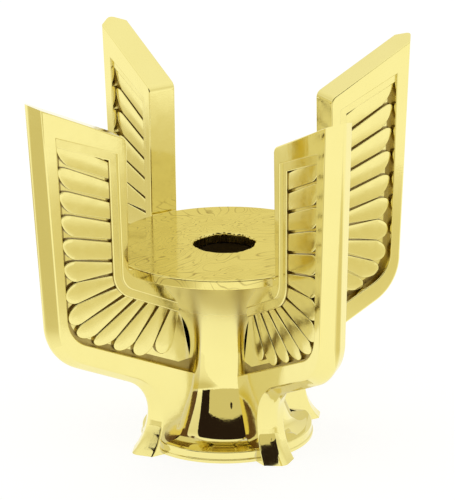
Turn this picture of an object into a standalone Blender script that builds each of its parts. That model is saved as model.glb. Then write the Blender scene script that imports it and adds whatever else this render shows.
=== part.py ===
"""A four-winged trophy riser: a trumpet column on a base ring carries a round
platform, and four L-shaped wings with feather relief stand round it.

Each wing is designed in its own plane: x is the distance from the riser's axis,
y the offset across the wing's thickness and z the height. The finished wing is
then turned about the axis, a quarter turn at a time.
"""

import math

import bmesh
import bpy
from mathutils import Matrix, Vector

MM = 0.001
GAP = 0.3 * MM  # clearance between neighbouring pieces
TOLERANCE = 0.001 * MM
BEYOND = 1.0 * MM  # how far a cutter runs past what it cuts
CORE = 0.5 * MM  # radius left open along the axis of the column's cutter

# Column, base ring and platform
WAIST_RADIUS = 9.45 * MM
WALL = 1.8 * MM
CONE_TOP = 11.5 * MM  # where the cone above the base runs out into the waist
CONE_SLOPE = 0.39
CONE_BLEND = 1.79 * MM
FILLET_RADIUS = 2.6 * MM  # how far the column spreads where it meets the base ring
FILLET_REACH = 0.4 * MM
CROWN_START = 20.0 * MM
CROWN_REACH = 14.0 * MM
CROWN_FLARE = 5.8 * MM
CROWN_POWER = 1.9
BASE_RADIUS = 17.05 * MM
BASE_HEIGHT = 2.3 * MM
BASE_LIP = 0.7 * MM  # height of the slightly wider lip on the floor
BASE_LIP_STEP = 0.25 * MM  # how much wider the lip is
BASE_EDGE = 0.3 * MM
BASE_BORE_RADIUS = 12.0 * MM
PLATFORM_RADIUS = 23.0 * MM
PLATFORM_TOP = 40.3 * MM
PLATFORM_THICKNESS = 2.0 * MM
PLATFORM_BOTTOM = PLATFORM_TOP - PLATFORM_THICKNESS
PLATFORM_EDGE = 0.25 * MM
HOLE_RADIUS = 6.2 * MM
COLLAR_RADIUS = 8.0 * MM
COLLAR_HEIGHT = 4.0 * MM
SEAT_BOTTOM = 5.4 * MM
SEAT_THICKNESS = 2.0 * MM
SEAT_RADIUS = 9.0 * MM
ROD_HOLE_RADIUS = 3.5 * MM

# Wing plate
WING_COUNT = 4
WING_HALF = 3.0 * MM
NOSE = 1.5 * MM  # rounding of the wing's outer edge
INNER_EDGE = 23.6 * MM
TOP_INNER_HEIGHT = 66.8 * MM
TOP_SLOPE = 0.475
TOP_CORNER = 1.6 * MM
OUTER_TOP = 44.0 * MM
OUTER_BOTTOM = 41.3 * MM
BEND_RADIUS = 11.2 * MM
ARM_SLOPE = 0.45
HEEL_RADIUS = 8.0 * MM
HEEL_HEIGHT = 8.3 * MM
LEG_RADIUS = 18.1 * MM  # distance of the leg's narrowest point from the axis
FOOT_CURVE = 11.0 * MM
FOOT_FLARE = 0.18  # how much wider than the wing the foot is on the floor
FOOT_LEVELS = 4
ROOT_RADIUS = 7.0 * MM

# Relief on each face of a wing
RECESS_FLOOR = 0.8 * MM
RECESS_TOP_INNER = 64.1 * MM
RECESS_TOP_SLOPE = 0.40
RECESS_OUTER_TOP = 39.1 * MM
RECESS_OUTER_BOTTOM = 37.6 * MM
RECESS_BEND_RADIUS = 7.0 * MM
RECESS_BEND_HEIGHT = 32.6 * MM
RECESS_INNER = 25.7 * MM
RECESS_CORNER = 4.2 * MM
RECESS_CORNER_INSET = 0.5 * MM  # how far the inner side has come in where the corner starts
RECESS_CORNER_HEIGHT = 39.4 * MM
RECESS_LOWER_SLOPE = 0.4375
PANEL_BACK = RECESS_FLOOR + GAP
PANEL_FACE = 1.6 * MM
LEDGE_FACE = 2.05 * MM
LEDGE_WIDTH = 1.7 * MM
LEDGE_GAP = 0.1 * MM
OVERLAP = 0.2 * MM  # how deep the ledge and the feathers reach into the panel
FEATHER_FACE = 2.2 * MM
FEATHER_COUNT = 13
STRAIGHT_FEATHERS = 5
STRAIGHT_PITCH = 4.1 * MM
TURNING_PITCH = 2.83 * MM
OUTER_PITCH = 5.0 * MM
FIRST_INNER = 3.8 * MM
FIRST_OUTER = 5.2 * MM
FEATHER_START = 62.5 * MM
FEATHER_LEAN = 0.3 * MM
QUILL_OVERLAP = 0.4 * MM  # how far a feather's root runs into the ledge
TIP_LENGTH = 0.75
TIP_STEPS = 6
GROOVE = 0.6 * MM
TIP_CLEARANCE = 1.3 * MM

# Screws that pull the wings onto the column
SCREW_HEIGHT = 11.0 * MM
SCREW_SHANK = 1.1 * MM
SCREW_HEAD = 1.9 * MM
SCREW_HEAD_START = 5.9 * MM
SCREW_HEAD_LENGTH = 1.5 * MM
SCREW_TIP = 14.5 * MM
LAY_SCREW = Matrix.Translation((0, 0, SCREW_HEIGHT)) @ Matrix.Rotation(math.radians(90), 4, "Y")

COLUMN_STEPS = 40
COLUMN_LEVELS = 18
COLUMN_CROWDING = 1.7
PLATFORM_STEPS = 64
SCREW_STEPS = 16
GOLD = (0.86, 0.70, 0.22)
SHADED_GOLD = (0.72, 0.56, 0.15)
STEEL = (0.55, 0.55, 0.56)


# ---------------------------------------------------------------- scene tools


def clear_scene():
    for obj in list(bpy.data.objects):
        bpy.data.objects.remove(obj, do_unlink=True)


def new_collection(name, hidden=False):
    collection = bpy.data.collections.new(name)
    bpy.context.scene.collection.children.link(collection)
    collection.hide_render = hidden
    return collection


def make_metal(name, colour, roughness):
    material = bpy.data.materials.new(name)
    material.use_nodes = True
    shader = material.node_tree.nodes["Principled BSDF"]
    shader.inputs["Base Color"].default_value = (*colour, 1.0)
    shader.inputs["Roughness"].default_value = roughness
    shader.inputs["Metallic"].default_value = 1.0
    return material


def object_from_bmesh(name, bm, collection):
    bmesh.ops.recalc_face_normals(bm, faces=bm.faces)
    mesh = bpy.data.meshes.new(name)
    bm.to_mesh(mesh)
    bm.free()
    obj = bpy.data.objects.new(name, mesh)
    collection.objects.link(obj)
    return obj


def smooth(obj, degrees=35):
    obj.data.shade_smooth()
    obj.data.set_sharp_from_angle(angle=math.radians(degrees))


def as_cutter(obj):
    obj.hide_render = True
    obj.display_type = "WIRE"
    return obj


def add_boolean(obj, other, operation):
    modifier = obj.modifiers.new(operation.title() + " " + other.name, "BOOLEAN")
    modifier.operation = operation
    modifier.solver = "EXACT"
    modifier.object = other
    return modifier


def apply_modifiers(obj):
    graph = bpy.context.evaluated_depsgraph_get()
    mesh = bpy.data.meshes.new_from_object(obj.evaluated_get(graph))
    obj.modifiers.clear()
    obj.data = mesh


# ------------------------------------------------------------- plane outlines


def arc(centre, radius, start, end, count):
    """Points on an arc in the x-z plane, with the angles in degrees."""
    points = []
    for i in range(count + 1):
        angle = math.radians(start + (end - start) * i / count)
        points.append((centre[0] + radius * math.cos(angle), centre[1] + radius * math.sin(angle)))
    return points


def prism(name, outline, low, high, collection):
    """A solid with this x-z outline that reaches from y = low to y = high."""
    bm = bmesh.new()
    near = [bm.verts.new((x, low, z)) for x, z in outline]
    face = bm.faces.new(near)
    pushed = bmesh.ops.extrude_face_region(bm, geom=[face])
    moved = [item for item in pushed["geom"] if isinstance(item, bmesh.types.BMVert)]
    bmesh.ops.translate(bm, verts=moved, vec=(0, high - low, 0))
    return object_from_bmesh(name, bm, collection)


def turned(name, profile, collection, steps=COLUMN_STEPS):
    """A closed ring turned about the Z axis from an outline of (radius, z) points."""
    bm = bmesh.new()
    verts = [bm.verts.new((x, 0, z)) for x, z in profile]
    for first, second in zip(verts, verts[1:] + verts[:1]):
        bm.edges.new((first, second))
    geometry = list(bm.verts) + list(bm.edges)
    bmesh.ops.spin(bm, geom=geometry, axis=(0, 0, 1), angle=2 * math.pi, steps=steps, use_merge=True)
    bmesh.ops.remove_doubles(bm, verts=bm.verts, dist=TOLERANCE)
    return object_from_bmesh(name, bm, collection)


# --------------------------------------------------------- column and platform


def column_radius(height):
    """Outer radius of the trumpet column: a cone low down, a waist and a flared crown."""
    cone = CONE_SLOPE * CONE_BLEND * math.log1p(math.exp((CONE_TOP - height) / CONE_BLEND))
    fillet = FILLET_RADIUS * math.exp(-(height - BASE_HEIGHT) / FILLET_REACH)
    crown = CROWN_FLARE * max(0.0, (height - CROWN_START) / CROWN_REACH) ** CROWN_POWER
    return WAIST_RADIUS + cone + fillet + crown


def column_heights():
    """Heights from the base ring to the platform, closer together where the foot flares."""
    low = BASE_HEIGHT + GAP
    reach = PLATFORM_BOTTOM - GAP - low
    return [low + reach * (i / COLUMN_LEVELS) ** COLUMN_CROWDING for i in range(COLUMN_LEVELS + 1)]


def make_column(parts):
    heights = column_heights()
    outer = [(column_radius(z), z) for z in heights]
    inner = [(column_radius(z) - WALL, z) for z in reversed(heights)]
    column = turned("pedestal_column", outer + inner, parts)
    smooth(column)
    return column


def make_base_ring(parts):
    lip_radius = BASE_RADIUS + BASE_LIP_STEP
    profile = [
        (BASE_BORE_RADIUS, 0.0),
        (lip_radius - BASE_EDGE, 0.0),
        (lip_radius, BASE_EDGE),
        (lip_radius, BASE_LIP),
        (BASE_RADIUS, BASE_LIP + BASE_EDGE),
        (BASE_RADIUS, BASE_HEIGHT - BASE_EDGE),
        (BASE_RADIUS - BASE_EDGE, BASE_HEIGHT),
        (BASE_BORE_RADIUS, BASE_HEIGHT),
    ]
    ring = turned("base_ring", profile, parts)
    smooth(ring)


def make_platform(parts):
    profile = [
        (HOLE_RADIUS, PLATFORM_BOTTOM),
        (PLATFORM_RADIUS - PLATFORM_EDGE, PLATFORM_BOTTOM),
        (PLATFORM_RADIUS, PLATFORM_BOTTOM + PLATFORM_EDGE),
        (PLATFORM_RADIUS, PLATFORM_TOP - PLATFORM_EDGE),
        (PLATFORM_RADIUS - PLATFORM_EDGE, PLATFORM_TOP),
        (HOLE_RADIUS + PLATFORM_EDGE, PLATFORM_TOP),
        (HOLE_RADIUS, PLATFORM_TOP - PLATFORM_EDGE),
    ]
    platform = turned("platform_disc", profile, parts, steps=PLATFORM_STEPS)
    smooth(platform)


def make_plain_ring(name, inner, outer, low, high, parts):
    profile = [(inner, low), (outer, low), (outer, high), (inner, high)]
    ring = turned(name, profile, parts)
    smooth(ring)


# -------------------------------------------------------------------- wings


def wing_outline():
    """The wing's side view: blade, bend, arm, heel, leg and foot, then back up the root."""
    arm_angle = math.degrees(math.atan(ARM_SLOPE))
    leg_x = LEG_RADIUS + HEEL_RADIUS
    heel = arc((leg_x, HEEL_HEIGHT), HEEL_RADIUS, 90 + arm_angle, 180, 6)
    heel_top = heel[0]
    bend_x = OUTER_BOTTOM - BEND_RADIUS
    reach = bend_x + BEND_RADIUS * math.sin(math.radians(arm_angle)) - heel_top[0]
    bend_z = heel_top[1] + ARM_SLOPE * reach + BEND_RADIUS * math.cos(math.radians(arm_angle))
    bend = arc((bend_x, bend_z), BEND_RADIUS, 0, arm_angle - 90, 9)
    foot_centre = (LEG_RADIUS + FOOT_CURVE, HEEL_HEIGHT)
    foot_end = 180 + math.degrees(math.asin(HEEL_HEIGHT / FOOT_CURVE))
    foot = arc(foot_centre, FOOT_CURVE, 180, foot_end, 5)[1:]
    top_outer = (OUTER_TOP, TOP_INNER_HEIGHT + TOP_SLOPE * (OUTER_TOP - INNER_EDGE))
    top_inner = [
        (INNER_EDGE, TOP_INNER_HEIGHT - TOP_CORNER),
        (INNER_EDGE + 0.25 * TOP_CORNER, TOP_INNER_HEIGHT - 0.2 * TOP_CORNER),
        (INNER_EDGE + TOP_CORNER, TOP_INNER_HEIGHT + TOP_SLOPE * TOP_CORNER),
    ]
    shoulder = PLATFORM_BOTTOM - GAP
    root = [(ROOT_RADIUS, 0.0), (ROOT_RADIUS, shoulder), (INNER_EDGE, shoulder)]
    return top_inner + [top_outer] + bend + heel + foot + root


def recess_outline(inset=0.0):
    """Outline of the sunk field that holds the feathers, drawn in by an inset."""
    lower_angle = math.degrees(math.atan(RECESS_LOWER_SLOPE))
    bend_centre = (RECESS_OUTER_BOTTOM - RECESS_BEND_RADIUS, RECESS_BEND_HEIGHT)
    bend = arc(bend_centre, RECESS_BEND_RADIUS - inset, 0, lower_angle - 90, 6)
    run = bend[-1][0] - ROOT_RADIUS
    lower_end = (ROOT_RADIUS, bend[-1][1] - RECESS_LOWER_SLOPE * run)
    top_outer_x = RECESS_OUTER_TOP - inset
    top_inner_x = RECESS_INNER + inset
    drop = inset * math.hypot(1.0, RECESS_TOP_SLOPE)
    top_outer = (top_outer_x, top_line(top_outer_x) - drop)
    top_inner = (top_inner_x, top_line(top_inner_x) - drop)
    corner = corner_arc(RECESS_CORNER + inset)
    run = corner[-1][0] - ROOT_RADIUS
    upper_end = (ROOT_RADIUS, corner[-1][1] - TOP_SLOPE * run)
    return [top_inner, top_outer] + bend + [lower_end, upper_end] + list(reversed(corner))


def top_line(x):
    return RECESS_TOP_INNER + RECESS_TOP_SLOPE * (x - RECESS_INNER)


def corner_arc(radius, count=5):
    """The turn where the inner side of the recess swings in under the platform."""
    centre = (RECESS_INNER - RECESS_CORNER_INSET - RECESS_CORNER, RECESS_CORNER_HEIGHT)
    lean = math.degrees(math.atan(TOP_SLOPE))
    return arc(centre, radius, 0, lean - 90, count)


def inner_path(distance):
    """The point this far down the line where the feathers start."""
    radius = RECESS_CORNER + LEDGE_WIDTH
    start, end = corner_arc(radius, 1)
    top = (start[0] + FEATHER_LEAN, FEATHER_START)
    straight = top[1] - start[1]
    lean = math.atan(TOP_SLOPE)
    turn = radius * (math.pi / 2 - lean)
    if distance <= straight:
        share = distance / straight
        return (top[0] + (start[0] - top[0]) * share, top[1] - distance)
    if distance <= straight + turn:
        centre = (start[0] - radius, start[1])
        angle = -(distance - straight) / radius
        return (centre[0] + radius * math.cos(angle), centre[1] + radius * math.sin(angle))
    rest = distance - straight - turn
    return (end[0] - rest * math.cos(lean), end[1] - rest * math.sin(lean))


def outer_path(distance):
    """The point this far down the recess's outer wall."""
    bend_x = RECESS_OUTER_BOTTOM - RECESS_BEND_RADIUS
    bend_z = RECESS_BEND_HEIGHT
    top_z = top_line(RECESS_OUTER_TOP)
    straight = top_z - bend_z
    lean = math.atan(RECESS_LOWER_SLOPE)
    turn = RECESS_BEND_RADIUS * (math.pi / 2 - lean)
    if distance <= straight:
        share = distance / straight
        return (RECESS_OUTER_TOP + (RECESS_OUTER_BOTTOM - RECESS_OUTER_TOP) * share, top_z - distance)
    if distance <= straight + turn:
        angle = -(distance - straight) / RECESS_BEND_RADIUS
        x = bend_x + RECESS_BEND_RADIUS * math.cos(angle)
        return (x, bend_z + RECESS_BEND_RADIUS * math.sin(angle))
    rest = distance - straight - turn
    x = bend_x + RECESS_BEND_RADIUS * math.sin(lean) - rest * math.cos(lean)
    return (x, bend_z - RECESS_BEND_RADIUS * math.cos(lean) - rest * math.sin(lean))


def groove_line(index):
    """Inner and outer end of the line between feather index and the next one."""
    straight = min(index, STRAIGHT_FEATHERS) - 1
    turning = max(index - STRAIGHT_FEATHERS, 0)
    inner = FIRST_INNER + STRAIGHT_PITCH * straight + TURNING_PITCH * turning
    outer = FIRST_OUTER + OUTER_PITCH * (index - 1)
    return Vector(inner_path(inner)), Vector(outer_path(outer))


def feather_outline(index):
    """One feather: a straight quill end, widening sides and a rounded tip."""
    upper_in, upper_out = groove_line(index)
    lower_in, lower_out = groove_line(index + 1)
    upper = (upper_out - upper_in).normalized()
    lower = (lower_out - lower_in).normalized()
    half = GROOVE / 2
    upper_side = Vector((upper.y, -upper.x)) * half
    lower_side = Vector((-lower.y, lower.x)) * half
    upper_root = upper_in + upper_side - upper * QUILL_OVERLAP
    lower_root = lower_in + lower_side - lower * QUILL_OVERLAP
    upper_tip = upper_out + upper_side - upper * TIP_CLEARANCE
    lower_tip = lower_out + lower_side - lower * TIP_CLEARANCE
    middle = (upper_tip + lower_tip) / 2
    across = (upper_tip - lower_tip) / 2
    along = (upper + lower).normalized() * across.length * TIP_LENGTH
    points = [upper_root]
    for step in range(TIP_STEPS + 1):
        angle = math.pi * step / TIP_STEPS
        points.append(middle + across * math.cos(angle) + along * (math.sin(angle) - TIP_LENGTH))
    points.append(lower_root)
    return [(point.x, point.y) for point in points]


def run_down(start, x):
    """The point at x on the line that slopes down from start towards the column."""
    return (x, start[1] - TOP_SLOPE * (start[0] - x))


def ledge_outline(inset):
    """The raised strip that runs along the top and the inner side of the recess."""
    outside = recess_outline(inset)
    top_inner, top_outer = outside[:2]
    outer_corner = outside[-len(corner_arc(1.0)):]
    inner_corner = corner_arc(RECESS_CORNER + LEDGE_WIDTH)
    drop = LEDGE_WIDTH * math.hypot(1.0, RECESS_TOP_SLOPE)
    under_inner_x = top_inner[0] + LEDGE_WIDTH - inset
    under_inner = (under_inner_x, top_line(under_inner_x) - drop)
    under_outer = (top_outer[0], top_line(top_outer[0]) - drop)
    end = column_radius(RECESS_BEND_HEIGHT) - WALL
    lower_end = run_down(inner_corner[-1], end)
    upper_end = run_down(outer_corner[0], end)
    upper_side = [top_inner, top_outer, under_outer, under_inner]
    return upper_side + inner_corner + [lower_end, upper_end] + outer_corner


def flare_foot(bm):
    """Widens the foot towards the floor and leaves the leg above it as it is."""
    for level in range(1, FOOT_LEVELS + 1):
        geometry = list(bm.verts) + list(bm.edges) + list(bm.faces)
        height = HEEL_HEIGHT * level / FOOT_LEVELS
        bmesh.ops.bisect_plane(bm, geom=geometry, plane_co=(0, 0, height), plane_no=(0, 0, 1))
    for vert in bm.verts:
        if vert.co.z < HEEL_HEIGHT:
            vert.co.y *= 1.0 + FOOT_FLARE * (1.0 - vert.co.z / HEEL_HEIGHT) ** 2


def round_outer_edge(obj):
    """Rounds both rims of the wing's outer edge, from the top corner to the floor."""
    bm = bmesh.new()
    bm.from_mesh(obj.data)
    chosen = []
    for edge in bm.edges:
        first, second = [vert.co for vert in edge.verts]
        along_wing = abs(first.y - second.y) < TOLERANCE
        root = min(first.x, second.x) < ROOT_RADIUS + TOLERANCE
        inner = max(first.x, second.x) < INNER_EDGE + 2 * TOP_CORNER and first.z > RECESS_BEND_HEIGHT
        top = min(first.z, second.z) > TOP_INNER_HEIGHT
        if along_wing and not root and not inner and not top:
            chosen.append(edge)
    bmesh.ops.bevel(bm, geom=chosen, offset=NOSE, segments=2, profile=0.5, affect="EDGES")
    flare_foot(bm)
    bmesh.ops.triangulate(bm, faces=bm.faces)
    bm.to_mesh(obj.data)
    bm.free()


def make_wing_cutters(guides):
    """Column and base ring with clearance, and the two recess fields."""
    around = [(column_radius(z) + GAP, z) for z in column_heights()[1:]]
    foot_radius = column_radius(BASE_HEIGHT + GAP) + GAP
    base_radius = BASE_RADIUS + BASE_LIP_STEP + GAP
    profile = [(CORE, -BEYOND), (CORE, PLATFORM_TOP), (around[-1][0], PLATFORM_TOP)]
    profile += around[::-1]
    profile += [(foot_radius, BASE_HEIGHT + GAP), (base_radius, BASE_HEIGHT + GAP), (base_radius, -BEYOND)]
    core = as_cutter(turned("column_space", profile, guides))
    deep = WING_HALF + BEYOND
    fields = []
    for side, low, high in (("left", RECESS_FLOOR, deep), ("right", -deep, -RECESS_FLOOR)):
        fields.append(as_cutter(prism("recess_" + side, recess_outline(), low, high, guides)))
    return core, fields


def make_screw_space(guides):
    """The clearance hole of one screw, from the axis to just past its tip."""
    length = SCREW_TIP + 2 * GAP
    radius = SCREW_SHANK + GAP
    profile = [(0.0, 0.0), (radius, 0.0), (radius, length), (0.0, length)]
    space = turned("screw_space", profile, guides, SCREW_STEPS)
    space.data.transform(LAY_SCREW)
    return as_cutter(space)


def make_wing_plate(core, fields, screw_space, guides):
    """One wing at its place on the +X side, ready to be copied."""
    plate = prism("wing_pattern", wing_outline(), -WING_HALF, WING_HALF, guides)
    round_outer_edge(plate)
    for other in [*fields, core, screw_space]:
        add_boolean(plate, other, "DIFFERENCE")
    apply_modifiers(plate)
    return as_cutter(plate)


def make_panel(core, guides):
    """The feather relief for the side of the wing that faces +Y."""
    panel = prism("panel_pattern", recess_outline(GAP), PANEL_BACK, PANEL_FACE, guides)
    sunk = PANEL_FACE - OVERLAP
    ledge = prism("ledge", ledge_outline(GAP + LEDGE_GAP), sunk, LEDGE_FACE, guides)
    add_boolean(panel, as_cutter(ledge), "UNION")
    for index in range(FEATHER_COUNT):
        feather = prism(f"feather_{index}", feather_outline(index), sunk, FEATHER_FACE, guides)
        add_boolean(panel, as_cutter(feather), "UNION")
    add_boolean(panel, core, "DIFFERENCE")
    apply_modifiers(panel)
    return as_cutter(panel)


def place_copy(name, pattern, turn, mirrored, parts):
    """A copy of a pattern, mirrored across the wing if asked, turned about the axis."""
    bm = bmesh.new()
    bm.from_mesh(pattern.data)
    if mirrored:
        bmesh.ops.transform(bm, matrix=Matrix.Scale(-1, 4, (0, 1, 0)), verts=bm.verts)
        bmesh.ops.reverse_faces(bm, faces=bm.faces)
    mesh = bpy.data.meshes.new(name)
    bm.to_mesh(mesh)
    bm.free()
    copy = bpy.data.objects.new(name, mesh)
    copy.rotation_euler = (0, 0, turn)
    parts.objects.link(copy)
    smooth(copy)
    return copy


def make_screw_pattern(guides):
    """A pan-head screw that points outward along +X."""
    profile = [
        (0.0, SCREW_HEAD_START),
        (SCREW_HEAD, SCREW_HEAD_START),
        (SCREW_HEAD, SCREW_HEAD_START + SCREW_HEAD_LENGTH),
        (SCREW_SHANK, SCREW_HEAD_START + SCREW_HEAD_LENGTH),
        (SCREW_SHANK, SCREW_TIP - SCREW_SHANK),
        (0.0, SCREW_TIP),
    ]
    screw = turned("screw_pattern", profile, guides, SCREW_STEPS)
    screw.data.transform(LAY_SCREW)
    return as_cutter(screw)


def main():
    clear_scene()
    parts = new_collection("winged_trophy_riser")
    guides = new_collection("guides", hidden=True)
    gold = make_metal("polished_gold", GOLD, 0.12)
    shaded = make_metal("hidden_gold", SHADED_GOLD, 0.35)
    steel = make_metal("zinc_steel", STEEL, 0.3)

    column = make_column(parts)
    make_base_ring(parts)
    make_platform(parts)
    collar_top = PLATFORM_BOTTOM - GAP
    collar_bottom = collar_top - COLLAR_HEIGHT
    seat_top = SEAT_BOTTOM + SEAT_THICKNESS
    make_plain_ring("rod_collar", HOLE_RADIUS, COLLAR_RADIUS, collar_bottom, collar_top, parts)
    make_plain_ring("seat_plate", ROD_HOLE_RADIUS, SEAT_RADIUS, SEAT_BOTTOM, seat_top, parts)

    core, fields = make_wing_cutters(guides)
    screw_space = make_screw_space(guides)
    plate = make_wing_plate(core, fields, screw_space, guides)
    panel = make_panel(core, guides)
    screw = make_screw_pattern(guides)
    for index in range(WING_COUNT):
        turn = index * 2 * math.pi / WING_COUNT
        place_copy(f"wing_frame_{index + 1}", plate, turn, False, parts)
        place_copy(f"feather_panel_{index + 1}_left", panel, turn, False, parts)
        place_copy(f"feather_panel_{index + 1}_right", panel, turn, True, parts)
        place_copy(f"wing_screw_{index + 1}", screw, turn, False, parts)
        hole = as_cutter(place_copy(f"screw_hole_{index + 1}", screw_space, turn, False, guides))
        add_boolean(column, hole, "DIFFERENCE")

    for obj in parts.objects:
        if obj.name.startswith("wing_screw"):
            finish = steel
        elif obj.name in ("rod_collar", "seat_plate"):
            finish = shaded
        else:
            finish = gold
        obj.data.materials.append(finish)


main()
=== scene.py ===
"""The looks of the winged trophy riser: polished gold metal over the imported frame.

Lengths are millimetres until make_piece() turns them into metres. A wing is
designed in its own plane, where x is the distance from the riser's axis, y the
offset across the wing's thickness and z the height, and is then turned about
the axis, a quarter turn at a time.
"""

import math

import bmesh
import bpy
from mathutils import Matrix, Vector, noise


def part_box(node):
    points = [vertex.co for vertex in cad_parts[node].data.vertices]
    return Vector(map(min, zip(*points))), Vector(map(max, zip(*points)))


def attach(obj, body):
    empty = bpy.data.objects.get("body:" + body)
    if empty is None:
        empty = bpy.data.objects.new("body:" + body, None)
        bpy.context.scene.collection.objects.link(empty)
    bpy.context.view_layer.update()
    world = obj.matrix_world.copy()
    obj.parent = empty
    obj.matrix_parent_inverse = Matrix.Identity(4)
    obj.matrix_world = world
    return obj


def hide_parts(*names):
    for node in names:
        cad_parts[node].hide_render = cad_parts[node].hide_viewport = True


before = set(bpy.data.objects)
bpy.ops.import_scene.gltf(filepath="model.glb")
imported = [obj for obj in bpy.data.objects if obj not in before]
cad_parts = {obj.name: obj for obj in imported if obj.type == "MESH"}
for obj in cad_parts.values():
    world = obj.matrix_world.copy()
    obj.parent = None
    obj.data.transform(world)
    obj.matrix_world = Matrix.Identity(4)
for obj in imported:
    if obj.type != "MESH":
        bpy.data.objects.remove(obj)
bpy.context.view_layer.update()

MM = 0.001
SHARP_DEGREES = 40  # a fold sharper than this stays a crisp edge
ALONG_PLANE = 0.999998  # cosine above which a face lies along a plane
MERGE = 1e-4  # points closer than this become one


def box_mm(node):
    low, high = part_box(node)
    return low / MM, high / MM


platform_low, platform_high = box_mm("platform_disc")
base_high = box_mm("base_ring")[1]
wing_high = box_mm("wing_frame_1")[1]

# Platform
PLATFORM_RADIUS = platform_high.x
PLATFORM_TOP = platform_high.z
PLATFORM_BOTTOM = platform_low.z
PLATFORM_EDGE = 0.3
PLATFORM_STEPS = 192
HOLE_RADIUS = 6.1
HOLE_FLASH = 0.9  # how far the ragged rim reaches out from the hole

# Base ring
BASE_HEIGHT = base_high.z
BASE_LIP_RADIUS = base_high.x
BASE_LIP_STEP = 0.25
BASE_LIP_HEIGHT = 0.7
BASE_LIP_EDGE = 0.12
BASE_RADIUS = BASE_LIP_RADIUS - BASE_LIP_STEP
BASE_EDGE = 0.25
BASE_STEP_FILLET = 0.18
BASE_BORE = 12.0

# Column
WAIST_RADIUS = 9.45
CONE_TOP = 12.2  # where the cone above the base runs out into the waist
CONE_SLOPE = 0.4
CONE_BLEND = 2.2
FILLET_SPREAD = 2.6  # how far the column spreads where it meets the base ring
FILLET_REACH = 0.4
CROWN_START = 20.0
CROWN_REACH = 14.0
CROWN_FLARE = 5.8
CROWN_POWER = 1.9
COLUMN_RINGS = 64
COLUMN_OVERLAP = 0.2  # how far it runs up into the platform
WALL = 1.8
TURN_STEPS = 160

# Wing plate
WING_COUNT = 4
HALF = 3.0  # half the thickness
INNER_EDGE = 23.6
TOP_SLOPE = 0.475
TOP_CORNER = 1.7
OUTER_TOP = wing_high.x
TOP_HEIGHT = wing_high.z
TOP_INNER_HEIGHT = TOP_HEIGHT - TOP_SLOPE * (OUTER_TOP - INNER_EDGE)
OUTER_BOTTOM = 41.3
BEND_RADIUS = 11.2
ARM_SLOPE = 0.45
HEEL_RADIUS = 8.0
HEEL_HEIGHT = 8.3
LEG_RADIUS = 18.1
FOOT_CURVE = 11.0
FOOT_FLARE = 0.18  # how much wider the foot is on the floor, as a share
FOOT_LEVELS = 10
NOSE = 1.7  # how far the ridge of the outer edge stands out on the blade
LEG_NOSE = 1.4
FOOT_NOSE = 1.6
NOSE_FADE = 8.0
RIDGE = 1.0  # half the width of the ridge's rounding
EDGE = 0.25  # rounding between a flat face and a facet of the edge
ROOT_DEPTH = 1.0  # how far the wing runs into the column's wall
ROOT_LEVELS = 8
WEB_TOP_COVER = 0.3  # the platform's metal round the web that carries it
WEB_BOTTOM_COVER = 0.5
WEB_RIM_COVER = 1.0

# Sunk field and its ledge
RECESS_INNER = 25.7
RECESS_TOP_INNER = 64.1
RECESS_TOP_SLOPE = 0.40
RECESS_OUTER_TOP = 39.1
RECESS_OUTER_BOTTOM = 37.6
RECESS_BEND_RADIUS = 7.0
RECESS_BEND_HEIGHT = 32.6
RECESS_LOWER_SLOPE = 0.4375
RECESS_CORNER = 4.2
RECESS_CORNER_HEIGHT = 39.4
CORNER_SHIFT = 0.5
CORNER_STEPS = 8
TOP_OUTER = CORNER_STEPS + 3  # place of the field's top outer corner in recess_path()
LIP = 0.22  # rounding of the wall's upper edge
LIP_LEVELS = [
    (-LIP * out, HALF - LIP * down)
    for out, down in ((1.0, 0.0), (0.56, 0.06), (0.25, 0.25), (0.06, 0.56), (0.0, 1.0))
] + [(0.12, 1.0)]
BACKGROUND = 1.4  # offset of the field's floor
LEDGE_FACE = 2.5  # offset of the ledge's face
LEDGE_WIDTH = 1.7
LEDGE_EDGE = 0.25
# the pit strip and the trough below are flat sheets of painted shade on the field's floor
PIT_WIDTH = 1.1
TROUGH_LENGTH = 6.5
TROUGH_HEIGHT = 3.0
WALL_STEEPNESS = 0.45  # a face that looks out less than this is a wall, and gets the darker metal of the painted shade

# Feathers
FEATHER_COUNT = 13
FEATHER_FACE = 2.1  # offset of a feather's edge, to which the crown adds
FEATHER_CROWN = 0.05
FEATHER_ROUNDING = 0.16
FEATHER_START = 62.5
FEATHER_START_LEAN = 0.3
STRAIGHT_FEATHERS = 5
STRAIGHT_PITCH = 4.1
TURNING_PITCH = 2.83
OUTER_PITCH = 5.0
FIRST_INNER = 3.8
FIRST_OUTER = 5.2
GROOVE = 0.6
ROOT_OVERLAP = 0.4  # how far a feather runs in under the ledge
TIP_CLEARANCE = 0.35
LAST_TIP_CLEARANCE = 1.9
TIP_LENGTH = 1.25  # a tip's length over half its width
TIP_SKEW = 0.3

# Texture scales, per metre, and the depth of the finest grain in millimetres
PATCHES = 140
SMEARS = 420
WAVES = 110
STREAKS = 500
GRAIN = 2600
GRAIN_DEPTH = 0.004
FLOW = 42
FLOW_LINES = 20
FLOW_LINE_WIDTH = 0.12

# Stage
FLOOR_REACH = 3000
FLOOR_GLOW = 0.83
CARD_DISTANCE = 300
WARM_GREY = (1.0, 0.92, 0.64)
SECOND_LIGHT = (0.76, 0.79, 1.35)  # the white surroundings in a reflection of a reflection
TENT = [(0.0, 0.95), (0.3, 0.8), (0.6, 0.93), (1.0, 1.0)]  # brightness from below to overhead

# Camera, in degrees and millimetres
CAMERA_AZIMUTH = -31.12
CAMERA_ELEVATION = 18.94
CAMERA_DISTANCE = 871.7
CAMERA_LENS = 315.9
CAMERA_ROLL = -0.79
CAMERA_AIM_RIGHT = 0.55
CAMERA_AIM_HEIGHT = 38.76


# ------------------------------------------------------------- mesh building


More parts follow.
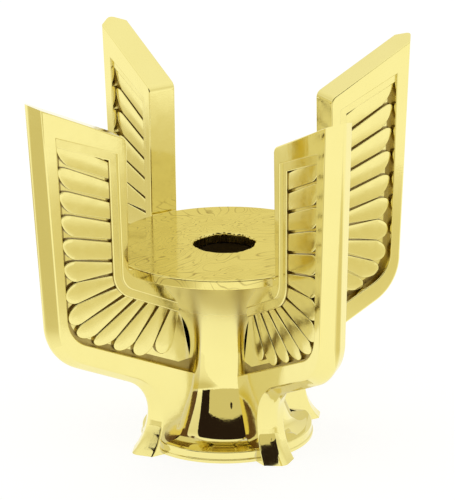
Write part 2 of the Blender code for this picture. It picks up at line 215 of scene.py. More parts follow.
def shade(bm, planes):
    """Flat shading on faces along one of the planes, smooth on the others, with crisp folds."""
    for face in bm.faces:
        face.smooth = not any(face.normal.dot(plane) > ALONG_PLANE for plane in planes)
    for edge in bm.edges:
        flat = any(not face.smooth for face in edge.link_faces)
        folded = len(edge.link_faces) == 2 and edge.calc_face_angle() > math.radians(SHARP_DEGREES)
        edge.smooth = not (flat or folded)


def make_piece(
    name, points, faces, materials, stands_for, planes=(), tones=None, turn=0.0, mirrored=False
):
    """A piece from points in millimetres, turned about the axis, on the root body.

    Faces along one of the planes, given by their normals, are shaded flat. The
    tones say which of the materials each face has.
    """
    place = Matrix.Rotation(turn, 4, "Z") @ Matrix.Scale(MM, 4)
    if mirrored:
        place = place @ Matrix.Scale(-1, 4, (0, 1, 0))
    mesh = bpy.data.meshes.new(name)
    mesh.from_pydata(points, [], faces)
    if tones:
        mesh.polygons.foreach_set("material_index", tones)
    bm = bmesh.new()
    bm.from_mesh(mesh)
    bmesh.ops.remove_doubles(bm, verts=bm.verts, dist=MERGE)
    bm.normal_update()
    shade(bm, planes)
    bmesh.ops.transform(bm, matrix=place, verts=bm.verts)
    if mirrored:
        bmesh.ops.reverse_faces(bm, faces=bm.faces)
    bm.to_mesh(mesh)
    bm.free()
    piece = bpy.data.objects.new(name, mesh)
    bpy.context.scene.collection.objects.link(piece)
    weighted = piece.modifiers.new("weighted_normals", "WEIGHTED_NORMAL")
    weighted.keep_sharp = True
    for material in materials:
        mesh.materials.append(material)
    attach(piece, "root")
    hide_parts(*stands_for)
    return piece


def read_back(bm):
    """Points and faces of a bmesh, which is freed."""
    bm.verts.index_update()
    points = [tuple(v.co) for v in bm.verts]
    faces = [tuple(v.index for v in f.verts) for f in bm.faces]
    bm.free()
    return points, faces


def arc(centre, radius, start, end, count):
    """Points on an arc in the x-z plane, with the angles in degrees."""
    points = []
    for i in range(count + 1):
        angle = math.radians(start + (end - start) * i / count)
        points.append((centre[0] + radius * math.cos(angle), centre[1] + radius * math.sin(angle)))
    return points


def lathe(profile, steps=TURN_STEPS):
    """Points and faces of a closed outline of (radius, z), turned about the axis."""
    points = []
    for step in range(steps):
        angle = 2 * math.pi * step / steps
        points += [(r * math.cos(angle), r * math.sin(angle), z) for r, z in profile]
    count = len(profile)
    faces = []
    for step in range(steps):
        here = step * count
        there = (step + 1) % steps * count
        for i in range(count):
            j = (i + 1) % count
            faces.append((here + i, there + i, there + j, here + j))
    return points, faces


def between(start, end, parts):
    """The points that split a line into equal parts, without its ends."""
    points = []
    for i in range(1, parts):
        share = i / parts
        points.append((start[0] + (end[0] - start[0]) * share, start[1] + (end[1] - start[1]) * share))
    return points


def inset_path(path, insets):
    """Moves each side of an open, clockwise x-z path inwards by its own inset.

    Two sides that meet at a clear angle move to their new crossing. Where the
    path hardly turns, the crossing could lie far off, so the point moves along
    the mean of the two normals instead.
    """
    clear_turn = 0.3
    sides = len(path) - 1
    normals = []
    for a, b in zip(path, path[1:]):
        length = math.hypot(b[0] - a[0], b[1] - a[1])
        normals.append(((b[1] - a[1]) / length, (a[0] - b[0]) / length))
    moved = []
    for i, point in enumerate(path):
        before = max(i - 1, 0)
        after = min(i, sides - 1)
        n1, n2 = normals[before], normals[after]
        d1, d2 = insets[before], insets[after]
        turn = n1[0] * n2[1] - n1[1] * n2[0]
        if abs(turn) > clear_turn:
            shift = ((d1 * n2[1] - d2 * n1[1]) / turn, (n1[0] * d2 - n2[0] * d1) / turn)
        else:
            mean = (n1[0] + n2[0], n1[1] + n2[1])
            scale = (d1 + d2) / (mean[0] ** 2 + mean[1] ** 2)
            shift = (mean[0] * scale, mean[1] * scale)
        moved.append((point[0] + shift[0], point[1] + shift[1]))
    return moved


def strips(rings, first=0):
    """Faces between consecutive rings of equally many points."""
    count = len(rings[0])
    faces = []
    for k in range(len(rings) - 1):
        for i in range(count - 1):
            a = first + k * count + i
            faces.append((a, a + 1, a + count + 1, a + count))
    return faces


# ----------------------------------------------------- column, base, platform


def column_radius(z):
    """Outer radius of the trumpet column: a cone low down, a waist and a flared crown."""
    cone = CONE_SLOPE * CONE_BLEND * math.log1p(math.exp((CONE_TOP - z) / CONE_BLEND))
    fillet = FILLET_SPREAD * math.exp(-(z - BASE_HEIGHT) / FILLET_REACH)
    crown = CROWN_FLARE * max(0.0, (z - CROWN_START) / CROWN_REACH) ** CROWN_POWER
    return WAIST_RADIUS + cone + fillet + crown


def column_heights():
    """Heights that are close together where the column flares at its foot."""
    reach = PLATFORM_BOTTOM + COLUMN_OVERLAP - BASE_HEIGHT
    return [BASE_HEIGHT + reach * (i / COLUMN_RINGS) ** 1.6 for i in range(COLUMN_RINGS + 1)]


def make_column(material):
    """The column's thin wall, which follows the same curve inside and out."""
    heights = column_heights()
    outer = [(column_radius(z), z) for z in heights]
    inner = [(column_radius(z) - WALL, z) for z in reversed(heights[::4])]
    points, faces = lathe(outer + inner)
    make_piece("column_shell", points, faces, [material], ["pedestal_column"])


def make_base(material):
    edge, lip_edge, fillet = BASE_EDGE, BASE_LIP_EDGE, BASE_STEP_FILLET
    top = arc((BASE_RADIUS - edge, BASE_HEIGHT - edge), edge, 90, 0, 5)
    step = arc((BASE_RADIUS + fillet, BASE_LIP_HEIGHT + fillet), fillet, 180, 270, 4)
    lip = arc((BASE_LIP_RADIUS - lip_edge, BASE_LIP_HEIGHT - lip_edge), lip_edge, 90, 0, 3)
    toe = arc((BASE_LIP_RADIUS - lip_edge, lip_edge), lip_edge, 0, -90, 3)
    profile = [(BASE_BORE, BASE_HEIGHT)] + top + step + lip + toe + [(BASE_BORE, 0.0)]
    points, faces = lathe(profile[::-1])
    make_piece("base_rim", points, faces, [material], ["base_ring"])


def platform_profile():
    """Outline of the disc, up the hole, over the top and round the rim."""
    edge = PLATFORM_EDGE
    outer = PLATFORM_RADIUS - edge
    hole = [
        (HOLE_RADIUS, PLATFORM_BOTTOM),
        (HOLE_RADIUS, PLATFORM_TOP - 0.5),
        (HOLE_RADIUS + 0.05, PLATFORM_TOP - 0.2),
        (HOLE_RADIUS + 0.2, PLATFORM_TOP - 0.03),
        (HOLE_RADIUS + 0.5, PLATFORM_TOP),
    ]
    rings = 6
    top = [(HOLE_RADIUS + (outer - HOLE_RADIUS) * i / rings, PLATFORM_TOP) for i in range(1, rings)]
    rim_top = arc((outer, PLATFORM_TOP - edge), edge, 90, 0, 6)
    rim_low = arc((outer, PLATFORM_BOTTOM + edge), edge, 0, -90, 5)
    return hole + top + rim_top + rim_low


def rag_hole(point):
    """Moves a point near the hole in or out, so that the hole looks roughly cut."""
    x, y, z = point
    radius = math.hypot(x, y)
    share = max(0.0, 1.0 - (radius - HOLE_RADIUS) / HOLE_FLASH)
    angle = math.atan2(y, x)
    ring = Vector((math.cos(angle), math.sin(angle), 0))
    wobble = noise.noise(ring * 2.6) * 0.5 + noise.noise(ring * 9.0) * 0.28
    scale = 1 + wobble * share / radius
    return (x * scale, y * scale, z)


def make_platform(material, under_material):
    points, faces = lathe(platform_profile()[::-1], PLATFORM_STEPS)
    points = [rag_hole(point) for point in points]
    underside = PLATFORM_BOTTOM + 0.01
    tones = [int(max(points[i][2] for i in face) < underside) for face in faces]
    make_piece(
        "platform_top", points, faces, [material, under_material], ["platform_disc"],
        tones=tones,
    )


# ------------------------------------------------------------------ wing plate


def nose_depth(z):
    """How far the ridge of the outer edge stands out from the flat faces."""
    if z < HEEL_HEIGHT:
        return LEG_NOSE + (FOOT_NOSE - LEG_NOSE) * (1 - z / HEEL_HEIGHT) ** 2
    return NOSE + (LEG_NOSE - NOSE) * math.exp(-(z - HEEL_HEIGHT) / NOSE_FADE)


def nose_inset(y, depth):
    """How far the edge has come in at this offset: two flat facets meet in a rounded ridge."""
    slope = depth / (HALF - RIDGE / 2)
    if y < RIDGE:
        return slope * y * y / (2 * RIDGE)
    return slope * (y - RIDGE / 2)


def rounded_inset(share, depth):
    """The inset this share of the way round from the flat face to the facet."""
    on_face = depth + EDGE
    on_facet = nose_inset(HALF - EDGE, depth)
    return (1 - share) ** 2 * on_face + 2 * share * (1 - share) * depth + share ** 2 * on_facet


def root_x(z):
    """Where the wing ends inside the column's wall or the base ring."""
    if z <= BASE_HEIGHT:
        return BASE_RADIUS - 1.3 * ROOT_DEPTH
    return column_radius(z) - ROOT_DEPTH


def web_outline():
    """The web inside the platform, from the column out and back to the blade's inner edge."""
    top = PLATFORM_TOP - WEB_TOP_COVER
    bottom = PLATFORM_BOTTOM + WEB_BOTTOM_COVER
    reach = PLATFORM_RADIUS - WEB_RIM_COVER
    return [(root_x(bottom), bottom), (reach, bottom), (reach, top), (INNER_EDGE, top)]


def top_corner():
    """The rounded corner between the blade's inner edge and its sloping top."""
    slope = math.degrees(math.atan(TOP_SLOPE))
    height = TOP_INNER_HEIGHT + TOP_SLOPE * TOP_CORNER - TOP_CORNER * math.hypot(1, TOP_SLOPE)
    return arc((INNER_EDGE + TOP_CORNER, height), TOP_CORNER, 180, 90 + slope, 6)


def wing_outline():
    """The wing's side view, clockwise from under the platform to the floor.

    The second list says of each side whether it is part of the ridged outer edge.
    """
    arm_angle = math.degrees(math.atan(ARM_SLOPE))
    lean = math.radians(arm_angle)
    heel = arc((LEG_RADIUS + HEEL_RADIUS, HEEL_HEIGHT), HEEL_RADIUS, 90 + arm_angle, 180, 10)
    bend_x = OUTER_BOTTOM - BEND_RADIUS
    reach = bend_x + BEND_RADIUS * math.sin(lean) - heel[0][0]
    bend_z = heel[0][1] + ARM_SLOPE * reach + BEND_RADIUS * math.cos(lean)
    bend = arc((bend_x, bend_z), BEND_RADIUS, 0, arm_angle - 90, 12)
    foot_end = 180 + math.degrees(math.asin(HEEL_HEIGHT / FOOT_CURVE))
    foot = arc((LEG_RADIUS + FOOT_CURVE, HEEL_HEIGHT), FOOT_CURVE, 180, foot_end, 7)[1:]
    tip = (OUTER_TOP, TOP_HEIGHT)
    crisp = web_outline() + top_corner()
    ridged = [tip] + between(tip, bend[0], 4) + bend + between(bend[-1], heel[0], 3) + heel + foot
    points = crisp + ridged + [(root_x(0.0), 0.0)]
    is_ridged = [False] * len(crisp) + [True] * (len(ridged) - 1) + [False]
    return points, is_ridged


def edge_rings(points, is_ridged):
    """Rings from the flat face, round the edge and on to the other flat face."""
    depths = [
        nose_depth((a[1] + b[1]) / 2) if ridged else 0.0
        for a, b, ridged in zip(points, points[1:], is_ridged)
    ]
    levels = []
    for share in (0.0, 0.25, 0.5, 0.75, 1.0):
        levels.append((HALF - EDGE * share ** 2, [rounded_inset(share, depth) for depth in depths]))
    for y in (RIDGE, RIDGE * 2 / 3, RIDGE / 3, 0.0):
        levels.append((y, [nose_inset(y, depth) for depth in depths]))
    rings = []
    for y, insets in levels:
        insets[-1] = 0.0
        rings.append([(x, y, max(z, 0.0)) for x, z in inset_path(points, insets)])
    mirrored = [[(x, -y, z) for x, y, z in ring] for ring in reversed(rings[:-1])]
    return rings + mirrored


def recess_path(inset=0.0):
    """The edge of the sunk field, clockwise: from the column up the inner side, over the top and back."""
    corner = corner_arc(RECESS_CORNER)
    lean = math.degrees(math.atan(RECESS_LOWER_SLOPE))
    bend_centre = (RECESS_OUTER_BOTTOM - RECESS_BEND_RADIUS, RECESS_BEND_HEIGHT)
    bend = arc(bend_centre, RECESS_BEND_RADIUS, 0, lean - 90, 10)
    top_height = RECESS_TOP_INNER + RECESS_TOP_SLOPE * (RECESS_OUTER_TOP - RECESS_INNER)
    top = [(RECESS_INNER, RECESS_TOP_INNER), (RECESS_OUTER_TOP, top_height)]
    upper_end = slide_to_column(corner[-1], TOP_SLOPE)
    lower_end = slide_to_column(bend[-1], RECESS_LOWER_SLOPE)
    path = [upper_end] + corner[::-1] + top + bend + [lower_end]
    return inset_path(path, [inset] * (len(path) - 1))


def slide_to_column(start, slope):
    """The point where a line with this slope runs into the column's wall."""
    x = start[0]
    for _ in range(30):
        z = start[1] - slope * (start[0] - x)
        x = root_x(z)
    return (x, start[1] - slope * (start[0] - x))


def corner_arc(radius, count=CORNER_STEPS):
    """The field's inner bend, round the same centre for every radius."""
    centre = (RECESS_INNER - CORNER_SHIFT - RECESS_CORNER, RECESS_CORNER_HEIGHT)
    lean = math.degrees(math.atan(TOP_SLOPE))
    return arc(centre, radius, 0, lean - 90, count)


def add_side(points, faces, rings, side):
    """Adds the wing's flat face on one side, with the walls of the field that is sunk into it."""
    first = len(points)
    walls = [[(x, side * y, z) for x, z in recess_path(inset)] for inset, y in LIP_LEVELS]
    points += [p for ring in walls for p in ring]
    wall_faces = strips(walls, first)
    face_ring = rings[0] if side > 0 else rings[-1]
    start = 0 if side > 0 else (len(rings) - 1) * len(rings[0])
    edge_loop = [start + i for i in range(len(face_ring))]
    field_loop = [first + i for i in range(len(walls[0]))]

    root = len(points)
    web, floor = face_ring[0][2], face_ring[-1][2]
    field_high, field_low = walls[0][0][2], walls[0][-1][2]
    below = [floor + (field_low - floor) * i / ROOT_LEVELS for i in range(1, ROOT_LEVELS)]
    above = [field_high + (web - field_high) * i / 3 for i in range(1, 3)]
    points += [(root_x(z), side * HALF, z) for z in below + above]
    below_loop = [root + i for i in range(len(below))]
    above_loop = [root + len(below) + i for i in range(len(above))]

    flat = edge_loop + below_loop + field_loop[::-1] + above_loop
    faces.append(tuple(flat if side < 0 else flat[::-1]))
    faces += wall_faces if side < 0 else [face[::-1] for face in wall_faces]


def wing_plate():
    """Points and faces of one wing plate with its two sunk fields."""
    rings = edge_rings(*wing_outline())
    points = [p for ring in rings for p in ring]
    faces = strips(rings)
    for side in (1, -1):
        add_side(points, faces, rings, side)
    return points, faces


def wing_with_foot():
    """The wing plate with its foot widened towards the floor, as points and faces."""
    points, faces = wing_plate()
    bm = bmesh.new()
    verts = [bm.verts.new(p) for p in points]
    for face in faces:
        if len(set(face)) > 2:
            bm.faces.new([verts[i] for i in face])
    bmesh.ops.remove_doubles(bm, verts=bm.verts, dist=MERGE)
    for level in range(1, FOOT_LEVELS + 1):
        bmesh.ops.bisect_plane(
            bm, geom=list(bm.verts) + list(bm.edges) + list(bm.faces),
            plane_co=(0, 0, HEEL_HEIGHT * level / FOOT_LEVELS), plane_no=(0, 0, 1),
        )
    for vert in bm.verts:
        if vert.co.z < HEEL_HEIGHT:
            vert.co.y *= 1.0 + FOOT_FLARE * (1.0 - vert.co.z / HEEL_HEIGHT) ** 2
    bmesh.ops.recalc_face_normals(bm, faces=bm.faces)
    bmesh.ops.triangulate(bm, faces=[f for f in bm.faces if len(f.verts) > 4])
    return read_back(bm)


TOP_NORMAL = Vector((-TOP_SLOPE, 0, 1)).normalized()
WING_PLANES = [
    Vector((0, 1, 0)), Vector((0, -1, 0)), Vector((-1, 0, 0)), Vector((0, 0, -1)), TOP_NORMAL,
]


def make_wings(material):
    points, faces = wing_with_foot()
    for index in range(WING_COUNT):
        turn = index * 2 * math.pi / WING_COUNT
        make_piece(
            f"wing_{index + 1}", points, faces, [material],
            [f"wing_frame_{index + 1}"], WING_PLANES, turn=turn,
        )


# ------------------------------------------------------------- feather relief


def inner_path(distance):
    """The point this far down the line where the feathers start."""
    radius = RECESS_CORNER + LEDGE_WIDTH
    start, end = corner_arc(radius, 1)
    top = (start[0] + FEATHER_START_LEAN, FEATHER_START)
    straight = top[1] - start[1]
    lean = math.atan(TOP_SLOPE)
    turn = radius * (math.pi / 2 - lean)
    if distance <= straight:
        share = distance / straight
        return (top[0] + (start[0] - top[0]) * share, top[1] - distance)
    if distance <= straight + turn:
        angle = -(distance - straight) / radius
        return (start[0] - radius + radius * math.cos(angle), start[1] + radius * math.sin(angle))
    rest = distance - straight - turn
    return (end[0] - rest * math.cos(lean), end[1] - rest * math.sin(lean))


def outer_path(distance):
    """The point this far down the recess's outer wall."""
    bend_x = RECESS_OUTER_BOTTOM - RECESS_BEND_RADIUS
    top_z = RECESS_TOP_INNER + RECESS_TOP_SLOPE * (RECESS_OUTER_TOP - RECESS_INNER)
    straight = top_z - RECESS_BEND_HEIGHT
    lean = math.atan(RECESS_LOWER_SLOPE)
    turn = RECESS_BEND_RADIUS * (math.pi / 2 - lean)
    if distance <= straight:
        share = distance / straight
        return (RECESS_OUTER_TOP + (RECESS_OUTER_BOTTOM - RECESS_OUTER_TOP) * share, top_z - distance)
    if distance <= straight + turn:
        angle = -(distance - straight) / RECESS_BEND_RADIUS
        x = bend_x + RECESS_BEND_RADIUS * math.cos(angle)
        return (x, RECESS_BEND_HEIGHT + RECESS_BEND_RADIUS * math.sin(angle))
    rest = distance - straight - turn
    x = bend_x + RECESS_BEND_RADIUS * math.sin(lean) - rest * math.cos(lean)
    return (x, RECESS_BEND_HEIGHT - RECESS_BEND_RADIUS * math.cos(lean) - rest * math.sin(lean))


def groove_line(index):
    """Inner and outer end of the line between feather index and the next one."""
    straight = min(index, STRAIGHT_FEATHERS) - 1
    turning = max(index - STRAIGHT_FEATHERS, 0)
    inner = FIRST_INNER + STRAIGHT_PITCH * straight + TURNING_PITCH * turning
    outer = FIRST_OUTER + OUTER_PITCH * (index - 1)
    return Vector(inner_path(inner)), Vector(outer_path(outer))


def feather_outline(index):
    """One feather's outline, each point with the point of the spine that it belongs to."""
    upper_in, upper_out = groove_line(index)
    lower_in, lower_out = groove_line(index + 1)
    upper = (upper_out - upper_in).normalized()
    lower = (lower_out - lower_in).normalized()
    upper_side = Vector((upper.y, -upper.x)) * GROOVE / 2
    lower_side = Vector((-lower.y, lower.x)) * GROOVE / 2
    upper_root = upper_in + upper_side - upper * ROOT_OVERLAP
    lower_root = lower_in + lower_side - lower * ROOT_OVERLAP
    clearance = LAST_TIP_CLEARANCE if index == FEATHER_COUNT - 1 else TIP_CLEARANCE
    upper_tip = upper_out + upper_side - upper * clearance
    lower_tip = lower_out + lower_side - lower * clearance

    axis = (upper + lower).normalized()
    across = (upper_tip - lower_tip) / 2
    length = across.length * TIP_LENGTH
    skew = TIP_SKEW if index <= STRAIGHT_FEATHERS else 0.0
    middle = (upper_tip + lower_tip) / 2 - axis * length
    root_middle = (upper_root + lower_root) / 2
    shares = [i / 5 for i in range(5)]
    outline = [(upper_root.lerp(middle + across, s), root_middle.lerp(middle, s)) for s in shares]
    tip_steps = 12
    for step in range(tip_steps + 1):
        angle = math.pi * step / tip_steps
        sideways = math.cos(angle) + skew * math.sin(angle) ** 2
        point = middle + across * sideways + axis * length * math.sin(angle)
        outline.append((point, middle + axis * length * 0.35 * math.sin(angle)))
    for s in reversed(shares):
        outline.append((lower_root.lerp(middle - across, s), root_middle.lerp(middle, s)))
    return outline


def feather_ring(outline, inset, y, share=0.0):
    """The outline drawn in by inset, and then by a share of the rest of the way to its spine."""
    ring = []
    for point, spine in outline:
        reach = (spine - point).length
        start = min(0.8, inset / max(reach, 1e-6))
        moved = point.lerp(spine, start + (1 - start) * share)
        ring.append((moved.x, y, moved.y))
    return ring


def feather(index):
    """Points and faces of one cambered feather, on the +y side."""
    outline = feather_outline(index)
    rings = [
        feather_ring(outline, 0.0, BACKGROUND - 0.3),
        feather_ring(outline, 0.0, FEATHER_FACE - FEATHER_ROUNDING),
    ]
    for step in range(1, 5):
        angle = math.pi / 2 * step / 4
        inset = FEATHER_ROUNDING * (1 - math.cos(angle))
        rings.append(feather_ring(outline, inset, FEATHER_FACE - FEATHER_ROUNDING * (1 - math.sin(angle))))
    for share in (0.35, 0.7, 1.0):
        crown = FEATHER_FACE + FEATHER_CROWN * math.sin(share * math.pi / 2)
        rings.append(feather_ring(outline, FEATHER_ROUNDING, crown, share))
    points = [p for ring in rings for p in ring]
    faces = strips(rings)
    count = len(outline)
    last = (len(rings) - 1) * count
    for i in range(count // 2):
        j = count - 1 - i
        face = tuple(dict.fromkeys((last + i, last + i + 1, last + j - 1, last + j)))
        if len(face) > 2:
            faces.append(face)
    return points, faces


def field_floor():
    outline = recess_path(-0.1)
    return [(x, BACKGROUND, z) for x, z in outline], [tuple(range(len(outline)))]


def ledge():
    """The flat step that frames the feathers along the field's inner side and top."""
    path = recess_path()[: TOP_OUTER + 1]
    soft = LEDGE_EDGE
    profile = [(-0.1, LEDGE_FACE), (LEDGE_WIDTH - soft, LEDGE_FACE)]
    for step in range(1, 5):
        angle = math.pi / 2 * step / 4
        down = soft * (1 - math.cos(angle))
        profile.append((LEDGE_WIDTH - soft + soft * math.sin(angle), LEDGE_FACE - down))
    profile.append((LEDGE_WIDTH, BACKGROUND - 0.1))
    rings = []
    for inset, y in profile:
        moved = inset_path(path, [inset] * (len(path) - 1))
        rings.append([(x, y, z) for x, z in moved])
    return [p for ring in rings for p in ring], strips(rings)


def pit_shade_sheets():
    """Painted shade: dark flat sheets on the field's floor, a strip along its outer and lower wall and a
    trough shape at its low end, where these hollows lie in shade.
    """
    y = BACKGROUND + 0.01
    path = recess_path()
    lines = [path[TOP_OUTER:], recess_path(PIT_WIDTH)[TOP_OUTER:]]
    rings = [[(x, y, z) for x, z in line] for line in lines]
    points = [p for ring in rings for p in ring]
    faces = strips(rings)
    low = Vector(path[-1])
    along = (Vector(path[-2]) - low).normalized() * TROUGH_LENGTH
    up = Vector((0, TROUGH_HEIGHT))
    trough = [low, low + along, low + along * 0.5 + up * 0.45, low + up]
    faces.append(tuple(len(points) + i for i in range(len(trough))))
    points += [(p.x, y + 0.01, p.y) for p in trough]
    return points, faces


def relief():
    """Points, faces and tones of what lies in the sunk field, on the +y side.

    Tone 1 is painted shade: a darker, duller metal on the steep walls and on the dark floor sheets,
    standing for the shade in these creases and hollows. Tone 0 is the rest.
    """
    shapes = [(field_floor(), 0), (ledge(), 0), (pit_shade_sheets(), 1)]
    shapes += [(feather(index), 0) for index in range(FEATHER_COUNT)]
    bm = bmesh.new()
    for (points, faces), tone in shapes:
        verts = [bm.verts.new(p) for p in points]
        for face in faces:
            bm.faces.new([verts[i] for i in face]).material_index = tone
    bmesh.ops.recalc_face_normals(bm, faces=bm.faces)
    for face in bm.faces:
        if face.normal.y < -0.2:
            face.normal_flip()
        # painted shade: the steep walls round the feathers and the field get the darker metal
        if abs(face.normal.y) < WALL_STEEPNESS:
            face.material_index = 1
    bmesh.ops.triangulate(bm, faces=[f for f in bm.faces if len(f.verts) > 4])
    tones = [f.material_index for f in bm.faces]
    return *read_back(bm), tones


def make_feather_panels(material, crease_shade_material):
    points, faces, tones = relief()
    for index in range(WING_COUNT):
        turn = index * 2 * math.pi / WING_COUNT
        for side in ("left", "right"):
            make_piece(
                f"feathers_{index + 1}_{side}", points, faces, [material, crease_shade_material],
                [f"feather_panel_{index + 1}_{side}"], WING_PLANES, tones, turn,
                mirrored=side == "right",
            )


# ------------------------------------------------------------------- materials


def new_material(name, colour, metallic):
    """A material with its node tree and its shader."""
    material = bpy.data.materials.new(name)
    material.use_nodes = True
    shader = material.node_tree.nodes["Principled BSDF"]
    shader.inputs["Base Color"].default_value = (*colour, 1.0)
    shader.inputs["Metallic"].default_value = metallic
    return material, material.node_tree, shader


def add_noise(tree, scale, detail, stretch=(1, 1, 1), distortion=0.0):
    """The value of a noise texture in object space."""
    coordinates = tree.nodes.new("ShaderNodeTexCoord")
    mapping = tree.nodes.new("ShaderNodeMapping")
    mapping.inputs["Scale"].default_value = stretch
    tree.links.new(coordinates.outputs["Object"], mapping.inputs["Vector"])
    texture = tree.nodes.new("ShaderNodeTexNoise")
    texture.inputs["Scale"].default_value = scale
    texture.inputs["Detail"].default_value = detail
    texture.inputs["Distortion"].default_value = distortion
    tree.links.new(mapping.outputs["Vector"], texture.inputs["Vector"])
    return texture.outputs["Fac"]


def map_range(tree, value, low, high, start=0.0, end=1.0):
    """The value moved from the range start to end into the range low to high, and kept inside it."""
    node = tree.nodes.new("ShaderNodeMapRange")
    node.inputs["From Min"].default_value = start
    node.inputs["From Max"].default_value = end
    node.inputs["To Min"].default_value = low
    node.inputs["To Max"].default_value = high
    tree.links.new(value, node.inputs["Value"])
    return node.outputs["Result"]


def spread_noise(tree, noise_value, low, high):
    """Noise mostly lies near its middle, so that part of it fills the whole range."""
    return map_range(tree, noise_value, low, high, 0.3, 0.7)


def calculate(tree, operation, first, second):
    """A Math node on a value and either a number or another value."""
    node = tree.nodes.new("ShaderNodeMath")
    node.operation = operation
    tree.links.new(first, node.inputs[0])
    if isinstance(second, (int, float)):
        node.inputs[1].default_value = second
    else:
        tree.links.new(second, node.inputs[1])
    return node.outputs["Value"]


def mix_colours(tree, factor, first, second):
    """Mixes a second colour over the first, which may be a colour or another node's output."""
    node = tree.nodes.new("ShaderNodeMix")
    node.data_type = "RGBA"
    if isinstance(first, tuple):
        node.inputs["A"].default_value = (*first, 1.0)
    else:
        tree.links.new(first, node.inputs["A"])
    node.inputs["B"].default_value = (*second, 1.0)
    tree.links.new(factor, node.inputs["Factor"])
    return node.outputs["Result"]


def add_bump(tree, height, depth, strength=1.0, under=None):
    """A normal bumped by a height value. The depth is in millimetres."""
    node = tree.nodes.new("ShaderNodeBump")
    node.inputs["Distance"].default_value = depth * MM
    node.inputs["Strength"].default_value = strength
    tree.links.new(height, node.inputs["Height"])
    if under:
        tree.links.new(under, node.inputs["Normal"])
    return node.outputs["Normal"]


def add_flow_lines(tree):
    """Thin wandering lines that fade in and out, such as plastic leaves in its mould."""
    swirl = add_noise(tree, FLOW, 2, stretch=(0.85, 1.6, 1), distortion=1.6)
    folded = calculate(tree, "PINGPONG", calculate(tree, "MULTIPLY", swirl, FLOW_LINES), 0.5)
    lines = map_range(tree, folded, 1.0, 0.0, 0.0, FLOW_LINE_WIDTH)
    fade = spread_noise(tree, add_noise(tree, 260, 2), 0.1, 1.0)
    return calculate(tree, "MULTIPLY", lines, fade)


def add_haze(tree, roughness, low, high, amount):
    """Roughness that grows by an amount between two heights in millimetres."""
    coordinates = tree.nodes.new("ShaderNodeTexCoord")
    split = tree.nodes.new("ShaderNodeSeparateXYZ")
    tree.links.new(coordinates.outputs["Object"], split.inputs["Vector"])
    rise = map_range(tree, split.outputs["Z"], 0.0, amount, low * MM, high * MM)
    rise.node.interpolation_type = "SMOOTHSTEP"
    return calculate(tree, "ADD", rise, roughness)


def metal(name, light, deep, gloss, ripple=0.04, edge_tint=(1, 1, 1), streaks=0.0, flow=None, haze=None):
    """Plated metal: an uneven colour and gloss over a faintly rippled surface.

    The gloss is the lowest and the highest roughness. Ripple and streaks are
    depths in millimetres. Flow is the colour of the flow lines, and haze is
    where the metal grows hazy, as add_haze() takes it.
    """
    material, tree, shader = new_material(name, light, 1.0)
    shader.inputs["Specular Tint"].default_value = (*edge_tint, 1.0)
    colour = mix_colours(tree, add_noise(tree, PATCHES, 3), deep, light)
    if flow:
        colour = mix_colours(tree, add_flow_lines(tree), colour, flow)
    tree.links.new(colour, shader.inputs["Base Color"])
    roughness = spread_noise(tree, add_noise(tree, SMEARS, 4, distortion=0.6), *gloss)
    if haze:
        roughness = add_haze(tree, roughness, *haze)
    tree.links.new(roughness, shader.inputs["Roughness"])
    normal = add_bump(tree, add_noise(tree, WAVES, 2), ripple)
    if streaks:
        drawn = add_noise(tree, STREAKS, 3, stretch=(1, 1, 0.06))
        normal = add_bump(tree, drawn, streaks, under=normal)
    normal = add_bump(tree, add_noise(tree, GRAIN, 3), GRAIN_DEPTH, 0.5, normal)
    tree.links.new(normal, shader.inputs["Normal"])
    return material


def make_metals():
    light, deep = (0.955, 0.86, 0.345), (0.925, 0.82, 0.31)
    return {
        "wing": metal("wing_gold", light, deep, (0.05, 0.12), ripple=0.03, streaks=0.012),
        "feather": metal("feather_gold", light, deep, (0.10, 0.2)),
        # painted shade: a darker, duller gold for the walls and floor sheets of the sunk field, standing
        # for the shade in its creases
        "painted_crease_shade": metal("crease_shade_gold", (0.55, 0.44, 0.14), (0.28, 0.20, 0.06), (0.25, 0.4)),
        "column": metal(
            "column_gold", light, deep, (0.015, 0.04), ripple=0.02,
            haze=(CROWN_START - 1, CROWN_START + 13, 0.3),
        ),
        "platform": metal(
            "platform_gold", (0.93, 0.82, 0.29), (0.84, 0.72, 0.23), (0.07, 0.2),
            edge_tint=(1.0, 0.93, 0.6), flow=(0.36, 0.26, 0.07),
        ),
        "underside": metal("satin_gold", (0.955, 0.88, 0.45), (0.9, 0.82, 0.4), (0.55, 0.7), ripple=0.02),
        # painted shade: the gold parts inside the column are coloured near black, for the shade in there
        "inner_part": metal("hidden_gold", (0.16, 0.11, 0.05), (0.10, 0.07, 0.03), (0.4, 0.6)),
        "screw": metal(
            "screw_steel", (0.62, 0.62, 0.64), (0.5, 0.5, 0.52), (0.25, 0.4), ripple=0.01, streaks=0.01,
        ),
    }


def dress_inner_parts(inner_part, screw):
    """Gives the CAD parts inside the column their metal: steel for the screws, and for the collar and seat
    plate a gold painted near black, as painted shade for the dark inside of the column.
    """
    for name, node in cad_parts.items():
        is_screw = name.startswith("wing_screw")
        if is_screw or name in ("rod_collar", "seat_plate"):
            node.data.materials.clear()
            node.data.materials.append(screw if is_screw else inner_part)


# ----------------------------------------------------------- stage and camera


def stage_mesh(name, points, faces, material):
    """A floor or card, which isn't part of the object.

    Its points are in millimetres, measured to the camera's right, towards the
    camera along the floor, and up.
    """
    right, back = camera_axes()
    front = Vector((back.x, back.y, 0)).normalized()
    places = [(right * x + front * y + Vector((0, 0, z))) * MM for x, y, z in points]
    mesh = bpy.data.meshes.new(name)
    mesh.from_pydata(places, [], faces)
    mesh.materials.append(material)
    obj = bpy.data.objects.new(name, mesh)
    bpy.context.scene.collection.objects.link(obj)
    return obj


